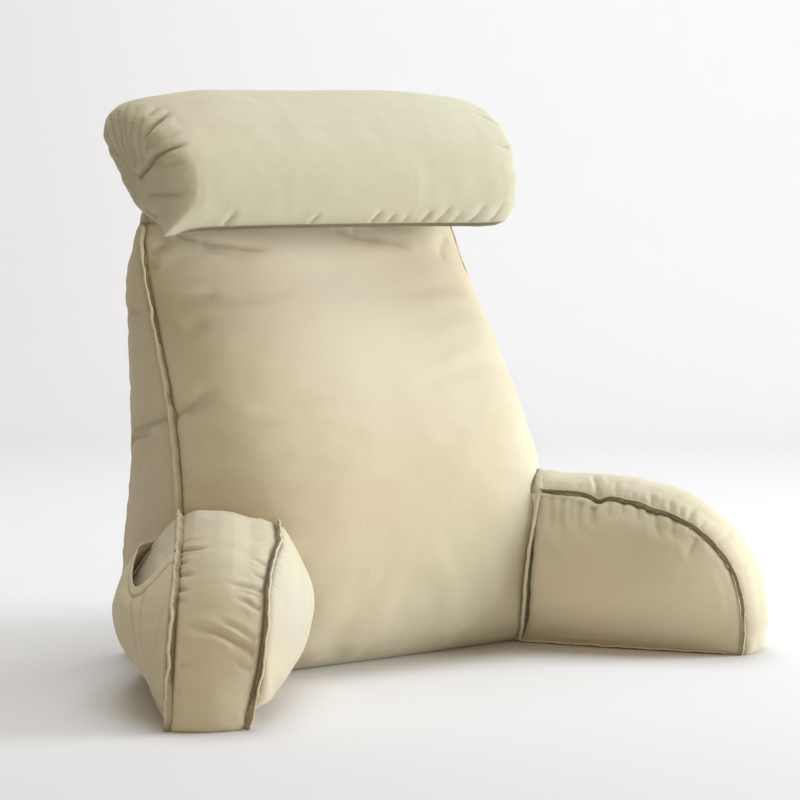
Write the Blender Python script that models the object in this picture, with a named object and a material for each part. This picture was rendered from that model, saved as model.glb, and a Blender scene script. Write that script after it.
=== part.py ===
"""Reading pillow: a wedge-shaped backrest with two boxed arms, a neck roll on top and one side pocket.

Metres, +Z up. The front faces -Y. The origin is the middle of the backrest's flat underside.
"""
from math import copysign, cos, hypot, pi, radians, sin

import bmesh
import bpy
from mathutils import Vector
from mathutils.bvhtree import BVHTree

GAP = 0.0003            # clearance between neighbouring pieces
SEEK = 0.15             # how far a piece's point is looked for from off the cloth
BLUNT = 0.4             # least cosine between a point's normal and its faces' in an offset
FRONT_Y = -0.095        # front bottom edge of the backrest

# Backrest, one row a level from the floor up.
# z: height; half: half width at the front seams; seam: how far the front seams lie behind FRONT_Y;
# crown: how far the stuffed front panel stands out before them; rear, rear_half: how far back and
# how far out the rear seams lie.
BACK_ROWS = [
    dict(z=0.000, half=0.226, seam=0.008, crown=0.007, rear=0.184, rear_half=0.206),
    dict(z=0.010, half=0.232, seam=0.005, crown=0.025, rear=0.190, rear_half=0.213),
    dict(z=0.028, half=0.236, seam=0.004, crown=0.044, rear=0.192, rear_half=0.217),
    dict(z=0.060, half=0.239, seam=0.007, crown=0.066, rear=0.193, rear_half=0.218),
    dict(z=0.100, half=0.239, seam=0.014, crown=0.081, rear=0.192, rear_half=0.217),
    dict(z=0.140, half=0.237, seam=0.023, crown=0.088, rear=0.191, rear_half=0.214),
    dict(z=0.175, half=0.234, seam=0.032, crown=0.089, rear=0.190, rear_half=0.210),
    dict(z=0.210, half=0.230, seam=0.042, crown=0.084, rear=0.190, rear_half=0.206),
    dict(z=0.250, half=0.226, seam=0.056, crown=0.077, rear=0.190, rear_half=0.205),
    dict(z=0.290, half=0.222, seam=0.074, crown=0.069, rear=0.191, rear_half=0.206),
    dict(z=0.335, half=0.218, seam=0.099, crown=0.058, rear=0.193, rear_half=0.207),
    dict(z=0.380, half=0.213, seam=0.124, crown=0.045, rear=0.195, rear_half=0.206),
    dict(z=0.420, half=0.209, seam=0.146, crown=0.030, rear=0.195, rear_half=0.204),
    dict(z=0.448, half=0.206, seam=0.156, crown=0.016, rear=0.190, rear_half=0.199),
    dict(z=0.462, half=0.202, seam=0.159, crown=0.011, rear=0.187, rear_half=0.195),
    dict(z=0.476, half=0.198, seam=0.157, crown=0.010, rear=0.185, rear_half=0.191),
    dict(z=0.490, half=0.195, seam=0.156, crown=0.008, rear=0.183, rear_half=0.188),
    dict(z=0.502, half=0.191, seam=0.159, crown=0.004, rear=0.180, rear_half=0.184),
    dict(z=0.512, half=0.184, seam=0.164, crown=0.001, rear=0.176, rear_half=0.177),
]
SEAM_BOTTOM = 0.140     # the piped stretch of the front seams
SEAM_TOP = 0.462
BACK_POWER = 5.5        # how boxy the front crown is
SIDE_BULGE = 0.010      # side gussets, outward
REAR_BULGE = 0.016      # rear panel, backward
FRONT_STEPS = 22
SIDE_STEPS = 5
REAR_STEPS = 10

# Arms. side: +1 is the arm at +X; turn: how far it splays outward from straight ahead, degrees;
# height and reach: of the seams of its side panels; crown: of the strip between them; inner and
# outer: how far the side panels bulge.
ARMS = [
    dict(name="right", side=1, turn=32.6, height=0.172, reach=0.2525, crown=0.016,
         inner=0.056, outer=0.054),
    dict(name="left", side=-1, turn=29.9, height=0.165, reach=0.245, crown=0.009,
         inner=0.064, outer=0.053),
]
ARM_ROOT_X = 0.1777     # where an arm's inner panel meets the front panel at the floor
ARM_LEAN_X = -0.0047    # shift of that line from the floor to the arm's top
ARM_LEAN_Y = -0.038
STRIP_WIDTH = 0.0866    # boxing strip between the two side panels
TIP_TAPER = 0.011       # how far each seam of the strip draws in by the floor at the tip
ARM_TAIL = 0.100        # how far the arm is carried back into the backrest before it is trimmed
ARM_POWER = 2.7         # superellipse of the side panels' outline
ARM_POLE = (0.045, 0.096)  # fullest point of a side panel, ahead of its root and above the floor
ARC_STEPS = 24
SOLE_STEPS = 9
ROOT_STEPS = 6
PANEL_RINGS = [1.0, 0.965, 0.90, 0.80, 0.66, 0.48, 0.28, 0.10]
STRIP_STATIONS = [0.2, 0.5, 0.8]
PANEL_FULLNESS = 2.2    # how a side panel falls to its seam
PANEL_POWER = 0.72
PANEL_PEAK = 1.22       # brings the fullest point of that form to the stated bulge
ROOT_SPREAD = 0.150     # distance over which it rises from its root
SOLE_SPREAD = 0.115     # and from the sole

# Neck roll, a flattened bolster lying along X on the backrest's top edge.
ROLL_LENGTH = 0.466
ROLL_CENTRE = (-0.006, 0.121 + FRONT_Y, 0.5290)
ROLL_LONG = 0.0927      # half thickness across its tilted section, along the longer way
ROLL_SHORT = 0.0590     # above and in front
ROLL_UNDER = 0.046      # below and behind, where it lies against the backrest
ROLL_TILT = 45.0        # the longer way runs from low in front to high behind
ROLL_SIDES = 40
ROLL_GATHERS = 13       # soft radial folds of each gathered end
ROLL_GATHER_DEPTH = 0.0028
ROLL_ARCH = 0.004       # the middle is held up by the backrest and the ends droop
# One row a ring of the left half. inset: from the end; share: of the full section.
ROLL_ROWS = [
    dict(inset=0.012, share=0.06),
    dict(inset=0.008, share=0.22),
    dict(inset=0.003, share=0.46),
    dict(inset=0.000, share=0.68),
    dict(inset=0.002, share=0.83),
    dict(inset=0.009, share=0.925),
    dict(inset=0.022, share=0.975),
    dict(inset=0.045, share=0.995),
    dict(inset=0.090, share=1.00),
    dict(inset=0.160, share=1.00),
]

WELT_RADIUS = 0.003     # piping in the main seams
SOLE_WELT_RADIUS = 0.002
WELT_STEP = 0.006
WELT_FLOOR = 0.001      # clearance of a welt's end above the floor
SOLE_WELT_STEPS = 12
SOLE_WELT_TAIL = 0.040  # it starts that far behind the arm's root line, before it is clipped
SOLE_WELT_SHORT = 0.015 # and ends short of the tip
SOLE_WELT_OFF = 0.080   # it is drawn in to the arm from that far off

# Where the piping round an arm's root is laid: first well off the arm, then drawn in to it.
# across: from the arm's inner seam; lift: share of the arm's height; down: 0 is drawn in level,
# 1 is lowered onto the strip.
ROOT_START = 0.08
ROOT_STOPS = [
    dict(across=-0.100, lift=0.03, down=0.0),
    dict(across=-0.100, lift=0.12, down=0.0),
    dict(across=-0.100, lift=0.24, down=0.0),
    dict(across=-0.100, lift=0.36, down=0.0),
    dict(across=-0.100, lift=0.48, down=0.0),
    dict(across=-0.100, lift=0.60, down=0.0),
    dict(across=-0.100, lift=0.72, down=0.0),
    dict(across=-0.100, lift=0.84, down=0.0),
    dict(across=-0.070, lift=1.20, down=0.4),
    dict(across=-0.040, lift=1.33, down=0.6),
    dict(across=0.006, lift=1.35, down=1.0),
    dict(across=0.025, lift=1.35, down=1.0),
    dict(across=0.045, lift=1.35, down=1.0),
    dict(across=0.065, lift=1.35, down=1.0),
    dict(across=0.080, lift=1.35, down=1.0),
]

# Pocket on the outer face of the left arm.
POCKET_THICK = 0.002
POCKET_REAR = 0.015     # its rear edge, ahead of the arm's root
POCKET_FRONT = 0.016    # its front edge, short of the arm's seam
POCKET_BOTTOM = 0.022
POCKET_HEM = 0.138      # height of the hem at its two ends
POCKET_DIP = 0.026      # how far the hem sags between them
POCKET_SAG = 0.022      # how far the mouth hangs open
POCKET_EASE = 0.0005
POCKET_COLUMNS = 16
POCKET_ROWS = 10

FABRIC = dict(base=(0.66, 0.585, 0.45), roughness=0.85)
FABRIC_ROLL = dict(base=(0.68, 0.64, 0.50), roughness=0.85)
FABRIC_WELT = dict(base=(0.70, 0.63, 0.50), roughness=0.8)


def clear_scene():
    for thing in list(bpy.data.objects):
        bpy.data.objects.remove(thing, do_unlink=True)


def cloth(name, look):
    material = bpy.data.materials.new(name)
    material.use_nodes = True
    shader = material.node_tree.nodes["Principled BSDF"]
    shader.inputs["Base Color"].default_value = (*look["base"], 1.0)
    shader.inputs["Roughness"].default_value = look["roughness"]
    shader.inputs["Metallic"].default_value = 0.0
    return material


def put(name, data, look):
    thing = bpy.data.objects.new(name, data)
    bpy.context.scene.collection.objects.link(thing)
    data.materials.append(cloth(name + "_cloth", look))
    return thing


def loft(name, rings):
    """Skins a row of closed rings of points and closes both ends flat."""
    shape = bmesh.new()
    loops = []
    for ring in rings:
        verts = [shape.verts.new(point) for point in ring]
        loops.append([shape.edges.new((a, b)) for a, b in zip(verts, verts[1:] + verts[:1])])
    for lower, upper in zip(loops, loops[1:]):
        bmesh.ops.bridge_loops(shape, edges=lower + upper)
    for end in (loops[0], loops[-1]):
        bmesh.ops.contextual_create(shape, geom=end)
    bmesh.ops.recalc_face_normals(shape, faces=shape.faces)
    quads = [face for face in shape.faces if len(face.verts) == 4]
    bmesh.ops.triangulate(shape, faces=quads)
    data = bpy.data.meshes.new(name)
    shape.to_mesh(data)
    shape.free()
    data.shade_smooth()
    return data


def tree_of(thing):
    """Nearest-surface search on an object as its modifiers leave it, in world space."""
    held = thing.evaluated_get(bpy.context.evaluated_depsgraph_get())
    shape = bmesh.new()
    shape.from_mesh(held.to_mesh())
    shape.transform(thing.matrix_world)
    bmesh.ops.triangulate(shape, faces=shape.faces)
    tree = BVHTree.FromBMesh(shape)
    shape.free()
    held.to_mesh_clear()
    return tree


def clearance(point, tree):
    """Distance to a surface, negative inside it."""
    spot, normal, _, distance = tree.find_nearest(point)
    return copysign(distance, (point - spot).dot(normal))


def slide(start, way, span, tree, reach):
    """Moves along a way from free space until it is `reach` from a surface."""
    near, far = 0.0, span
    for _ in range(24):
        middle = (near + far) / 2
        if clearance(start + way * middle, tree) > reach:
            near = middle
        else:
            far = middle
    return start + way * near


# ---- Backrest ----

def back_ring(row):
    """One level of the backrest, from the right front seam round by the left one."""
    z, half = row["z"], row["half"]
    front = FRONT_Y + row["seam"]
    rear = FRONT_Y + row["rear"]
    rear_half = row["rear_half"]
    ring = []
    for step in range(FRONT_STEPS):
        t = cos(pi * step / FRONT_STEPS)
        bow = row["crown"] * (1 - abs(t) ** BACK_POWER)
        ring.append(Vector((half * t, front - bow, z)))
    depth = rear - front
    side_bulge = SIDE_BULGE * min(1.0, depth / 0.08) * min(1.0, 0.3 + z / 0.03)
    for step in range(SIDE_STEPS):
        t = step / SIDE_STEPS
        out = half + (rear_half - half) * t + side_bulge * sin(pi * t)
        ring.append(Vector((-out, front + depth * t, z)))
    rear_bulge = REAR_BULGE * min(1.0, 0.3 + z / 0.03)
    for step in range(REAR_STEPS):
        t = cos(pi * step / REAR_STEPS)
        ring.append(Vector((-rear_half * t, rear + rear_bulge * (1 - t * t), z)))
    for step in range(SIDE_STEPS):
        t = 1 - step / SIDE_STEPS
        out = half + (rear_half - half) * t + side_bulge * sin(pi * t)
        ring.append(Vector((out, front + depth * t, z)))
    return ring


def back_seam(side):
    """The front seam on one side, from inside the arm's root up to the top seam."""
    rows = [row for row in BACK_ROWS if SEAM_BOTTOM <= row["z"] <= SEAM_TOP]
    return [Vector((side * row["half"], FRONT_Y + row["seam"], row["z"])) for row in rows]


# ---- Arms ----

def arm_place(arm, ahead, across, z):
    """A point of an arm: ahead of its root, across from its inner panel, and above the floor."""
    turn = radians(arm["turn"])
    lift = z / arm["height"]
    tip = TIP_TAPER * max(0.0, 1 - lift) ** 2 * max(0.0, min(1.0, ahead / arm["reach"]))
    across += tip * (1 - 2 * max(0.0, min(1.0, across / STRIP_WIDTH)))
    x = ARM_ROOT_X + ARM_LEAN_X * lift + ahead * sin(turn) + across * cos(turn)
    y = FRONT_Y + ARM_LEAN_Y * lift - ahead * cos(turn) + across * sin(turn)
    return Vector((arm["side"] * x, y, z))


def arm_outline(arm):
    """Outline of a side panel: along its top and down the tip, back along the sole, up the root."""
    points = [(-ARM_TAIL * share, arm["height"]) for share in (1.0, 0.66, 0.33)]
    for step in range(ARC_STEPS + 1):
        angle = pi / 2 * step / ARC_STEPS
        ahead = arm["reach"] * sin(angle) ** (2 / ARM_POWER)
        z = arm["height"] * max(cos(angle), 0.0) ** (2 / ARM_POWER)
        points.append((ahead, z))
    seam_count = len(points)
    points[-1] = (arm["reach"], 0.0)
    span = arm["reach"] + ARM_TAIL
    for step in range(1, SOLE_STEPS + 1):
        points.append((arm["reach"] - span * step / SOLE_STEPS, 0.0))
    for step in range(1, ROOT_STEPS):
        points.append((-ARM_TAIL, arm["height"] * step / ROOT_STEPS))
    return points, seam_count


def hill(share, power):
    """Rises steeply from 0 and levels out at 1."""
    return (1 - (1 - max(0.0, min(1.0, share))) ** 2) ** power


def panel_rise(arm, ahead, z):
    """Stuffed height of a side panel: 0 at its seam, root and sole, and 1 at its fullest."""
    spread = (max(ahead, 0.0) / arm["reach"]) ** ARM_POWER + (z / arm["height"]) ** ARM_POWER
    seam_side = max(0.0, 1 - spread ** (PANEL_FULLNESS / ARM_POWER)) ** PANEL_POWER
    root_side = hill((ahead + ARM_TAIL) / ROOT_SPREAD, 0.6)
    return PANEL_PEAK * seam_side * root_side * hill(z / SOLE_SPREAD, 0.75)


def panel_ring(arm, outline, share, seam, bulge):
    """A ring of a side panel, at a share of the way from its fullest point to its seam."""
    ring = []
    for ahead, z in outline:
        a = ARM_POLE[0] + (ahead - ARM_POLE[0]) * share
        b = ARM_POLE[1] + (z - ARM_POLE[1]) * share
        ring.append(arm_place(arm, a, seam + bulge * panel_rise(arm, a, b), b))
    return ring


def strip_ring(arm, outline, share):
    """A ring of the boxing strip, crowned between its two seams but flat below."""
    ring = []
    count = len(outline)
    lift = arm["crown"] * (1 - (2 * share - 1) ** 2)
    for index, (ahead, z) in enumerate(outline):
        before, after = outline[index - 1], outline[(index + 1) % count]
        run = (after[0] - before[0], after[1] - before[1])
        size = hypot(*run)
        out = (-run[1] / size, run[0] / size)
        swell = lift * min(1.0, z / 0.03) if ahead > -ARM_TAIL else 0.0
        ring.append(arm_place(arm, ahead + out[0] * swell, share * STRIP_WIDTH, z + out[1] * swell))
    return ring


def arm_rings(arm):
    outline, _ = arm_outline(arm)
    rings = []
    for share in reversed(PANEL_RINGS):
        rings.append(panel_ring(arm, outline, share, 0.0, -arm["inner"]))
    for station in STRIP_STATIONS:
        rings.append(strip_ring(arm, outline, station))
    for share in PANEL_RINGS:
        rings.append(panel_ring(arm, outline, share, STRIP_WIDTH, arm["outer"]))
    return rings


# ---- Neck roll ----

def roll_ring(x, share, gather):
    """One ring of the roll's tilted oval section, rippled where the cloth is gathered."""
    tilt = radians(ROLL_TILT)
    arch = ROLL_ARCH * (1 - (2 * (x - ROLL_CENTRE[0]) / ROLL_LENGTH) ** 2)
    ring = []
    for step in range(ROLL_SIDES):
        angle = 2 * pi * step / ROLL_SIDES
        ripple = gather * cos(ROLL_GATHERS * angle)
        u = ROLL_LONG * share * cos(angle)
        short = ROLL_SHORT if sin(angle) > 0 else ROLL_UNDER
        v = short * share * sin(angle)
        y = ROLL_CENTRE[1] + u * cos(tilt) - v * sin(tilt)
        z = ROLL_CENTRE[2] + arch + u * sin(tilt) + v * cos(tilt)
        ring.append(Vector((x + ripple, y, z)))
    return ring


def roll_rings():
    rings = []
    for side in (-1, 1):
        half = []
        for row in ROLL_ROWS:
            depth = ROLL_GATHER_DEPTH * sin(pi * row["share"]) if row["share"] < 0.95 else 0.0
            x = ROLL_CENTRE[0] + side * (ROLL_LENGTH / 2 - row["inset"])
            half.append(roll_ring(x, row["share"], side * depth))
        rings += half if side < 0 else half[::-1]
    return rings


# ---- Trimming and piping ----

def trim(thing, cutter):
    """Cuts a piece to the shape of its neighbour, which is a little larger than life here."""
    cutter.hide_render = True
    cutter.hide_viewport = True
    cutter.display_type = "WIRE"
    cut = thing.modifiers.new("seat", "BOOLEAN")
    cut.operation = "DIFFERENCE"
    cut.solver = "EXACT"
    cut.object = cutter


def grown(name, thing):
    """A copy of a piece, larger all round by the gap that its neighbour keeps."""
    data = thing.data.copy()
    shape = bmesh.new()
    shape.from_mesh(data)
    shape.normal_update()
    for vert in shape.verts:
        slant = min(vert.normal.dot(face.normal) for face in vert.link_faces)
        vert.co += vert.normal * GAP / max(slant, BLUNT)
    shape.to_mesh(data)
    shape.free()
    copy = bpy.data.objects.new(name, data)
    bpy.context.scene.collection.objects.link(copy)
    return copy


def ridge(thing, points, radius):
    """Lifts a seam's points off the cloth, so that piping of that radius just clears it."""
    shape = bmesh.new()
    shape.from_mesh(thing.data)
    shape.normal_update()
    spots = {vert.co.to_tuple(5): vert for vert in shape.verts}
    path = []
    for point in points:
        vert = spots[point.to_tuple(5)]
        slant = min(vert.normal.dot(face.normal) for face in vert.link_faces)
        path.append(point + vert.normal * (radius + GAP) / max(slant, BLUNT))
    shape.free()
    return path


def clip(path, limit):
    """Keeps the stretch of a path where limit(point) is above zero, cut off exactly at its ends."""
    kept = []
    for a, b in zip(path, path[1:]):
        free_a, free_b = limit(a) > 0, limit(b) > 0
        if free_a and not kept:
            kept.append(a)
        if free_a != free_b:
            inside, outside = (a, b) if free_a else (b, a)
            for _ in range(24):
                middle = (inside + outside) / 2
                inside, outside = (middle, outside) if limit(middle) > 0 else (inside, middle)
            kept.append(inside)
        if free_b:
            kept.append(b)
    return kept


def nearest_on_path(point, path):
    """Distance from a point to a run of straight pieces."""
    best = 1.0
    for a, b in zip(path, path[1:]):
        run = b - a
        share = max(0.0, min(1.0, (point - a).dot(run) / max(run.length_squared, 1e-12)))
        best = min(best, (point - a - run * share).length)
    return best


def ease(path, step, trees, reach):
    """Refines a path to short steps, each held at least `reach` off the surfaces beside it."""
    eased = [path[0]]
    for a, b in zip(path, path[1:]):
        count = max(1, round((b - a).length / step))
        eased += [a.lerp(b, (index + 1) / count) for index in range(count)]
    for _ in range(6):
        for index, point in enumerate(eased):
            for tree in trees:
                spot, _, _, _ = tree.find_nearest(point)
                short = reach - clearance(point, tree)
                if short > 0:
                    point = point + (point - spot).normalized() * short
            eased[index] = point
    return eased


def piping(name, path, radius):
    curve = bpy.data.curves.new(name, "CURVE")
    curve.dimensions = "3D"
    curve.bevel_depth = radius
    curve.bevel_resolution = 2
    curve.use_fill_caps = True
    spline = curve.splines.new("POLY")
    spline.points.add(len(path) - 1)
    for knot, point in zip(spline.points, path):
        knot.co = (*point, 1.0)
    return put(name, curve, FABRIC_WELT)


def arm_ways(arm):
    """Level directions of an arm: back toward its root, and across from its inner side."""
    turn = radians(arm["turn"])
    back_way = Vector((-arm["side"] * sin(turn), cos(turn), 0.0))
    side_way = Vector((arm["side"] * cos(turn), sin(turn), 0.0))
    return back_way, side_way


def root_path(arm, arm_tree, back_tree):
    """Runs in the corner between the front panel and an arm: up its inner side and over its strip."""
    reach = WELT_RADIUS + GAP
    back_way, side_way = arm_ways(arm)
    path = []
    for stop in ROOT_STOPS:
        z = max(stop["lift"] * arm["height"], WELT_RADIUS + WELT_FLOOR)
        start = arm_place(arm, ROOT_START, stop["across"], z)
        way = side_way * (1 - stop["down"]) + Vector((0, 0, -stop["down"]))
        way.normalize()
        near, far = 0.0, ROOT_START + ARM_TAIL
        for _ in range(20):
            middle = (near + far) / 2
            spot = slide(start + back_way * middle, way, SEEK, arm_tree, reach)
            if clearance(spot, back_tree) > reach:
                near = middle
            else:
                far = middle
        path.append(slide(start + back_way * near, way, SEEK, arm_tree, reach))
    return ease(path, WELT_STEP, (arm_tree, back_tree), reach + GAP / 2)


def arm_seam(arm, across):
    """The seam between an arm's strip and one side panel, from its root over the tip to the floor."""
    outline, seam_count = arm_outline(arm)
    return [arm_place(arm, ahead, across, z) for ahead, z in outline[:seam_count]]


def sole_path(arm, arm_tree):
    """Runs on the floor along the lower edge of an arm's inner panel."""
    reach = SOLE_WELT_RADIUS + GAP
    _, side_way = arm_ways(arm)
    run = SOLE_WELT_TAIL + arm["reach"] - SOLE_WELT_SHORT
    path = []
    for step in range(SOLE_WELT_STEPS + 1):
        ahead = -SOLE_WELT_TAIL + run * step / SOLE_WELT_STEPS
        start = arm_place(arm, ahead, -SOLE_WELT_OFF, SOLE_WELT_RADIUS + WELT_FLOOR / 2)
        path.append(slide(start, side_way, SEEK, arm_tree, reach))
    return path


def pocket_sheet(arm, arm_tree):
    """Cloth sewn to the arm's outer panel along three edges, with its hem hanging open."""
    _, side_way = arm_ways(arm)
    shape = bmesh.new()
    bmesh.ops.create_grid(shape, x_segments=POCKET_COLUMNS, y_segments=POCKET_ROWS, size=0.5)
    for vert in shape.verts:
        u, v = vert.co.x + 0.5, vert.co.y + 0.5
        hem = POCKET_HEM - POCKET_DIP * sin(pi * u)
        z = POCKET_BOTTOM + (hem - POCKET_BOTTOM) * v
        seam = arm["reach"] * (1 - (z / arm["height"]) ** ARM_POWER) ** (1 / ARM_POWER)
        ahead = POCKET_REAR + (seam - POCKET_FRONT - POCKET_REAR) * u
        start = arm_place(arm, ahead, STRIP_WIDTH + SEEK, z)
        spot, normal, _, _ = arm_tree.ray_cast(start, -side_way)
        open_by = POCKET_SAG * sin(pi * u) ** 1.5 * v ** 2
        vert.co = spot + normal * POCKET_EASE + side_way * open_by
    bmesh.ops.recalc_face_normals(shape, faces=shape.faces)
    if sum(face.normal.dot(side_way) for face in shape.faces) < 0:
        bmesh.ops.reverse_faces(shape, faces=shape.faces)
    data = bpy.data.meshes.new("arm_pocket")
    shape.to_mesh(data)
    shape.free()
    data.shade_smooth()
    sheet = put("arm_pocket", data, FABRIC)
    thick = sheet.modifiers.new("cloth", "SOLIDIFY")
    thick.thickness = POCKET_THICK
    thick.offset = 1.0
    thick.use_even_offset = True
    return sheet


def main():
    clear_scene()
    roll = put("neck_roll", loft("neck_roll", roll_rings()), FABRIC_ROLL)
    back = put("back_cushion", loft("back_cushion", [back_ring(row) for row in BACK_ROWS]), FABRIC)
    trim(back, grown("roll_seat", roll))
    back_seat = grown("back_seat", back)
    bpy.context.view_layer.update()
    back_tree, roll_tree = tree_of(back), tree_of(roll)
    reach, double = WELT_RADIUS + GAP, WELT_RADIUS * 2 + GAP * 2

    for arm in ARMS:
        side = arm["name"]
        limb = put("arm_" + side, loft("arm_" + side, arm_rings(arm)), FABRIC)
        bpy.context.view_layer.update()
        arm_tree = tree_of(limb)
        trim(limb, back_seat)
        root = root_path(arm, arm_tree, back_tree)
        edge = clip(ridge(back, back_seam(arm["side"]), WELT_RADIUS), lambda p: min(
            clearance(p, arm_tree) - reach, clearance(p, roll_tree) - reach))
        root = clip(root, lambda p: nearest_on_path(p, edge) - double)
        piping("welt_back_" + side, edge, WELT_RADIUS)
        piping("welt_root_" + side, root, WELT_RADIUS)

        def free(point):
            """Room around a point of an arm's own piping."""
            return min(clearance(point, back_tree) - reach, nearest_on_path(point, root) - double,
                       nearest_on_path(point, edge) - double, point.z - WELT_RADIUS - WELT_FLOOR)

        inner = clip(ridge(limb, arm_seam(arm, 0.0), WELT_RADIUS), free)
        outer = clip(ridge(limb, arm_seam(arm, STRIP_WIDTH), WELT_RADIUS), free)
        piping("welt_arm_" + side + "_inner", inner, WELT_RADIUS)
        piping("welt_arm_" + side + "_outer", outer, WELT_RADIUS)
        mixed = WELT_RADIUS + SOLE_WELT_RADIUS + GAP * 2
        sole = clip(sole_path(arm, arm_tree), lambda p: min(
            clearance(p, back_tree) - SOLE_WELT_RADIUS - GAP,
            nearest_on_path(p, root) - mixed, nearest_on_path(p, inner) - mixed))
        piping("welt_sole_" + side, sole, SOLE_WELT_RADIUS)
        if side == "left":
            trim(pocket_sheet(arm, arm_tree), grown("pocket_seat", limb))


main()
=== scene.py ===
from math import radians

import bmesh
import bpy
import numpy as np
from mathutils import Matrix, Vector


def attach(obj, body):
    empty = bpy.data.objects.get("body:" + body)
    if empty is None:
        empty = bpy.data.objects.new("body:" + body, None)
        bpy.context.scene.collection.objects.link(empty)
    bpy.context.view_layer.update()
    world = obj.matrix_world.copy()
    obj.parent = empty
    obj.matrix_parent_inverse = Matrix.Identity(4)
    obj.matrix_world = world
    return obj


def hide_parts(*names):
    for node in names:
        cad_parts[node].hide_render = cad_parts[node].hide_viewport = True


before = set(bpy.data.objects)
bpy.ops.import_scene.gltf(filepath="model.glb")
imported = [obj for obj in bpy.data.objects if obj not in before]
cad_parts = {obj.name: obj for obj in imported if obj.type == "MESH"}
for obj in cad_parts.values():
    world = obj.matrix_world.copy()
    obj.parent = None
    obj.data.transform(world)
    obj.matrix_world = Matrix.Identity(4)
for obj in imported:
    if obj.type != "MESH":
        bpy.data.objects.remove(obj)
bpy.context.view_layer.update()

# The pillow's own sizes in metres, the same as in its solids.
frontY = -0.095
armRoot = dict(x=0.1777, leanX=-0.0047, leanY=-0.038)
armBulge = dict(gain=1.22, spread=2.2, power=0.72)
armPower = 2.7
stripWidth = 0.0866
tipTaper = 0.011
seamTail = 0.02  # how far the arms' seams run on behind their root
floorFade = 0.012  # a pad's relief fades out below this height
batch = 12000  # how many points are compared with a path at a time
topSeamZ = 0.4655
weltStep = 0.0012
arms = dict(
    right=dict(side=1, turn=radians(32.6), height=0.172, reach=0.2525, inner=0.056, outer=0.054),
    left=dict(side=-1, turn=radians(29.9), height=0.165, reach=0.245, inner=0.064, outer=0.053))


def readData(items, name, width, kind=np.float32):
    flat = np.empty(len(items) * width, dtype=kind)
    items.foreach_get(name, flat)
    return flat.reshape(-1, width)


def readPoints(mesh):
    return readData(mesh.vertices, "co", 3).astype(float)


def readNormals(mesh):
    return readData(mesh.vertex_normals, "vector", 3).astype(float)


def readEdges(mesh):
    return readData(mesh.edges, "vertices", 2, np.int32)


def writePoints(mesh, points):
    mesh.vertices.foreach_set("co", points.astype(np.float32).ravel())
    mesh.update()


# The same, with nothing left below the floor.
def setDown(mesh, points):
    points[:, 2] = np.maximum(points[:, 2], 0)
    writePoints(mesh, points)


# How dark the cloth is drawn at each point, which its material reads: mostly painted shade in
# seams, creases, folds and under things.
def writePaintedShade(mesh, values):
    layer = mesh.attributes.new("seam", "FLOAT", "POINT")
    layer.data.foreach_set("value", values.astype(np.float32))


def linkNew(name, mesh):
    thing = bpy.data.objects.new(name, mesh)
    bpy.context.scene.collection.objects.link(thing)
    return thing


def bakeModifiers(thing):
    held = thing.evaluated_get(bpy.context.evaluated_depsgraph_get())
    mesh = bpy.data.meshes.new_from_object(held)
    thing.modifiers.clear()
    thing.data = mesh
    thing.data.shade_smooth()


# Turns a mesh's faces outwards, after joining the points that lie within `join` of each other.
def faceOutwards(mesh, join=0.0):
    shape = bmesh.new()
    shape.from_mesh(mesh)
    if join:
        bmesh.ops.remove_doubles(shape, verts=shape.verts, dist=join)
    bmesh.ops.recalc_face_normals(shape, faces=shape.faces)
    shape.to_mesh(mesh)
    shape.free()


def unit(vectors):
    return vectors / np.maximum(np.linalg.norm(vectors, axis=-1, keepdims=True), 1e-9)


# What is left of vectors without their part along a way.
def squareTo(way, vectors):
    return vectors - way * (vectors * way).sum(1, keepdims=True)


# From 0 to 1 with a soft start and a soft end.
def eased(share):
    share = np.clip(share, 0, 1)
    return share * share * (3 - 2 * share)


# A bell curve: 1 in the middle, fading over `width` on both sides.
def bell(away, width):
    return np.exp(-(away / width) ** 2)


# A soft step: 0 below, 1 above, passing over within a few times `width`.
def passing(value, width):
    return 1 / (1 + np.exp(-value / width))


# Averages each row with its two neighbours a number of times; the ends stay.
def smoothed(rows, rounds):
    for _ in range(rounds):
        rows = np.concatenate([rows[:1], (rows[:-2] + 2 * rows[1:-1] + rows[2:]) / 4, rows[-1:]])
    return rows


# Moves each value toward its neighbours' mean and a little more back again by turns, so that
# small unevenness goes and the large form keeps its size.
def evenOut(values, edges, rounds, push=0.5, back=-0.53):
    a, b = edges[:, 0], edges[:, 1]
    count = len(values)
    near = np.maximum(np.bincount(edges.ravel(), minlength=count), 1)[:, None]
    for index in range(rounds):
        total = np.stack([np.bincount(a, values[b, k], count) + np.bincount(b, values[a, k], count)
                          for k in range(values.shape[1])], axis=1)
        values = values + (push if index % 2 == 0 else back) * (total / near - values)
    return values


# A surface on a grid of rows and columns; a wrapped one closes on itself, with a pole at each end.
def gridMesh(name, points, wrap=False):
    rows, columns = points.shape[:2]
    index = np.arange(rows * columns).reshape(rows, columns)
    if wrap:
        index = np.concatenate([index, index[:, :1]], axis=1)
    quads = np.stack([index[:-1, :-1], index[:-1, 1:], index[1:, 1:], index[1:, :-1]], axis=-1)
    faces = quads.reshape(-1, 4).tolist()
    flat = points.reshape(-1, 3)
    if wrap:
        first, last = len(flat), len(flat) + 1
        flat = np.concatenate([flat, points[0].mean(0)[None], points[-1].mean(0)[None]])
        faces += [[first, b, a] for a, b in zip(index[0][:-1].tolist(), index[0][1:].tolist())]
        faces += [[last, a, b] for a, b in zip(index[-1][:-1].tolist(), index[-1][1:].tolist())]
    mesh = bpy.data.meshes.new(name)
    mesh.from_pydata(flat.tolist(), [], faces)
    faceOutwards(mesh)
    mesh.shade_smooth()
    return mesh


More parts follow.
